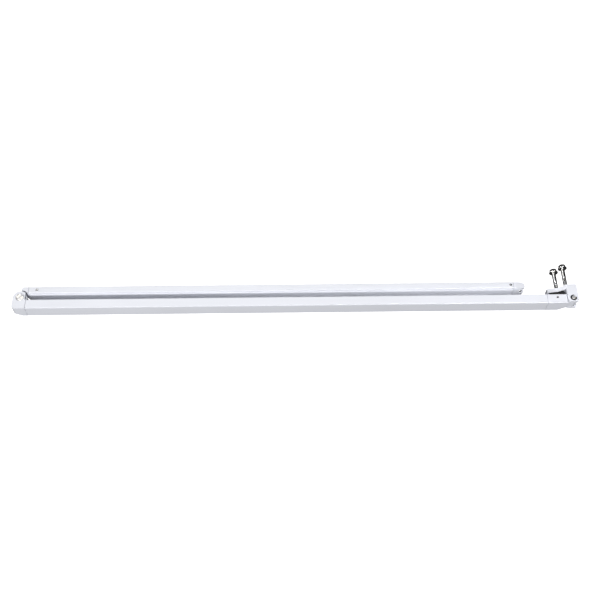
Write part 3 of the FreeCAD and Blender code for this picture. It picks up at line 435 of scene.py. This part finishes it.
def set_screw():
    """The set screw with a hexagon socket; the socket's walls are near-black, painted shade in the
    socket.
    """
    node = "tilt_set_screw"
    low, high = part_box(node)
    centre = (low + high) / 2
    radius = (high.x - low.x) / 2
    flats, point, chamfer = 3 * MM, 1 * MM, 0.5 * MM
    mouth = (high.z - 0.3 * MM, hexagon_ring(flats, radius))
    rings = [
        (low.z, None),
        (low.z, round_ring(radius - point)),
        (low.z + point, round_ring(radius)),
        (high.z - chamfer, round_ring(radius)),
        (high.z, round_ring(radius - chamfer)),
        (high.z, round_ring(flats / 2 + chamfer)),
        mouth,
    ]
    socket = [
        mouth,
        (high.z - 3.2 * MM, hexagon_ring(flats, radius)),
        (high.z - 3.6 * MM, None),
    ]
    place = standing_at(centre.x, centre.y, 0)
    made = bmesh.new()
    add_rings(made, rings, place)
    # The socket's walls take the second, near-black finish: painted shade in the socket.
    add_rings(made, socket, place, 1)
    bmesh.ops.remove_doubles(made, verts=made.verts, dist=WELD)
    show(node + "_socket", made, "upper_arm", node, [FINISHES["steel"], FINISHES["black_steel"]])


CORNER_STEPS = 6


def grooved_outline(half_wide, half_tall):
    """A rectangle with round corners, and two shallow grooves in each of its tall sides."""
    corner, slope = 2.2 * MM, 0.3 * MM
    groove_up, groove_half, groove_deep = 10 * MM, 1.5 * MM, 0.9 * MM
    outline = []
    for quarter, (side_y, side_z) in enumerate(((1, 1), (-1, 1), (-1, -1), (1, -1))):
        for step in range(CORNER_STEPS + 1):
            turn = math.pi / 2 * (quarter + step / CORNER_STEPS)
            y = side_y * (half_wide - corner) + corner * math.cos(turn)
            z = side_z * (half_tall - corner) + corner * math.sin(turn)
            outline.append((y, z))
        if side_y != side_z:
            edge = side_y * half_wide
            sunk = side_y * (half_wide - groove_deep)
            for middle in (side_z * groove_up, -side_z * groove_up):
                outline += [
                    (edge, middle + side_z * (groove_half + slope)),
                    (sunk, middle + side_z * groove_half),
                    (sunk, middle - side_z * groove_half),
                    (edge, middle - side_z * (groove_half + slope)),
                ]
    return outline


def grooved_tube():
    """The forearm's extrusion: the grooved outline outside, and a plain rectangular bore."""
    node = "forearm_tube"
    low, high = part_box(node)
    half_wide, half_tall = (high.y - low.y) / 2, (high.z - low.z) / 2
    centre_y, centre_z = (low.y + high.y) / 2, (low.z + high.z) / 2
    wall = 1.6 * MM
    bore_y, bore_z = half_wide - wall, half_tall - wall
    bore = [(bore_y, bore_z), (-bore_y, bore_z), (-bore_y, -bore_z), (bore_y, -bore_z)]
    outlines = (grooved_outline(half_wide, half_tall), bore)
    made = bmesh.new()
    ends = []
    for x in (low.x, high.x):
        loops = []
        for outline in outlines:
            loops.append([made.verts.new((x, centre_y + y, centre_z + z)) for y, z in outline])
        ends.append(loops)
    for near, far in zip(*ends):
        count = len(near)
        for index in range(count):
            after = (index + 1) % count
            made.faces.new([near[index], near[after], far[after], far[index]])
    for loops in ends:
        rim = []
        for loop in loops:
            for index, vertex in enumerate(loop):
                rim.append(made.edges.get([vertex, loop[(index + 1) % len(loop)]]))
        bmesh.ops.triangle_fill(made, edges=rim, use_beauty=True)
    show(node + "_grooved", made, "forearm", node, [FINISHES["drawn"]])


for side in ("left", "right"):
    bolt(side)
rivet_group("forearm_rivets", "forearm", (1, -1))
rivet_group("upper_arm_rivets", "upper_arm", (-1,))
rivet_group("strut_rivets", "upper_arm", (-1,))
set_screw()
grooved_tube()


# ---------------------------------------------------------------- the studio

def aimed(location, target, roll=0.0):
    """A turn that points an object's -Z axis from location to target."""
    turn = (Vector(target) - Vector(location)).to_track_quat("-Z", "Y").to_matrix().to_4x4()
    return Matrix.Translation(location) @ turn @ Matrix.Rotation(roll, 4, "Z")


def camera():
    """A camera above the near side of the arm, with a slight roll."""
    target = Vector((-0.660, -0.02375, 0.0))
    elevation = math.radians(58)
    roll = math.radians(-0.6)
    distance = 2.257
    back = Vector((0, -math.cos(elevation), math.sin(elevation))) * distance
    data = bpy.data.cameras.new("camera")
    data.sensor_width = 36
    data.lens = 55.5
    data.clip_end = 50
    shown = bpy.data.objects.new("camera", data)
    shown.matrix_world = aimed(target + back, target, roll)
    bpy.context.scene.collection.objects.link(shown)
    bpy.context.scene.camera = shown


def area_light(name, location, target, size, power):
    """A soft, white rectangular light."""
    data = bpy.data.lights.new(name, "AREA")
    data.shape = "RECTANGLE"
    data.size, data.size_y = size
    data.energy = power
    shown = bpy.data.objects.new(name, data)
    shown.matrix_world = aimed(location, target)
    bpy.context.scene.collection.objects.link(shown)


def floor():
    """A plain pale sweep well below the arm."""
    shader = Shader("studio_floor")
    shade = shader.ramp(shader.noise(1.2, 3), [(0.3, (0.86, 0.86, 0.86)), (0.7, (0.9, 0.9, 0.9))])
    roughness = shader.between(shader.noise(8, 3), 0.75, 0.9)
    material = shader.finish(shade, roughness, shader.bump(shader.noise(60, 3), 0.0004), specular=0.1)
    shader.link(shade, shader.surface.inputs["Emission Color"])
    shader.surface.inputs["Emission Strength"].default_value = 1.0
    mesh = bpy.data.meshes.new("floor")
    drop, reach = 0.32, 14
    level = CAD_BOX[0].z - drop
    corners = ((-reach, -reach), (reach, -reach), (reach, reach), (-reach, reach))
    mesh.from_pydata([(x, y, level) for x, y in corners], [], [(0, 1, 2, 3)])
    mesh.materials.append(material)
    shown = bpy.data.objects.new("floor", mesh)
    shown.visible_diffuse = False
    shown.visible_glossy = False
    bpy.context.scene.collection.objects.link(shown)


def studio():
    """The floor, the lights and an even, dim surround."""
    floor()
    world = bpy.data.worlds.new("surround")
    world.use_nodes = True
    background = world.node_tree.nodes["Background"]
    background.inputs["Color"].default_value = (0.93, 0.95, 1.0, 1)
    background.inputs["Strength"].default_value = 0.05
    bpy.context.scene.world = world
    area_light("behind", (-1.2, 1.15, 1.25), (-0.75, 0, 0), (1.8, 0.5), 16)
    area_light("front_left", (-1.5, -1.3, 0.85), (-0.8, 0, 0), (0.5, 0.25), 20.8)
    area_light("front_right", (0.1, -0.6, 0.9), (-0.35, 0, 0), (0.3, 0.25), 9.8)
    view = bpy.context.scene.view_settings
    view.view_transform = "Standard"


camera()
studio()
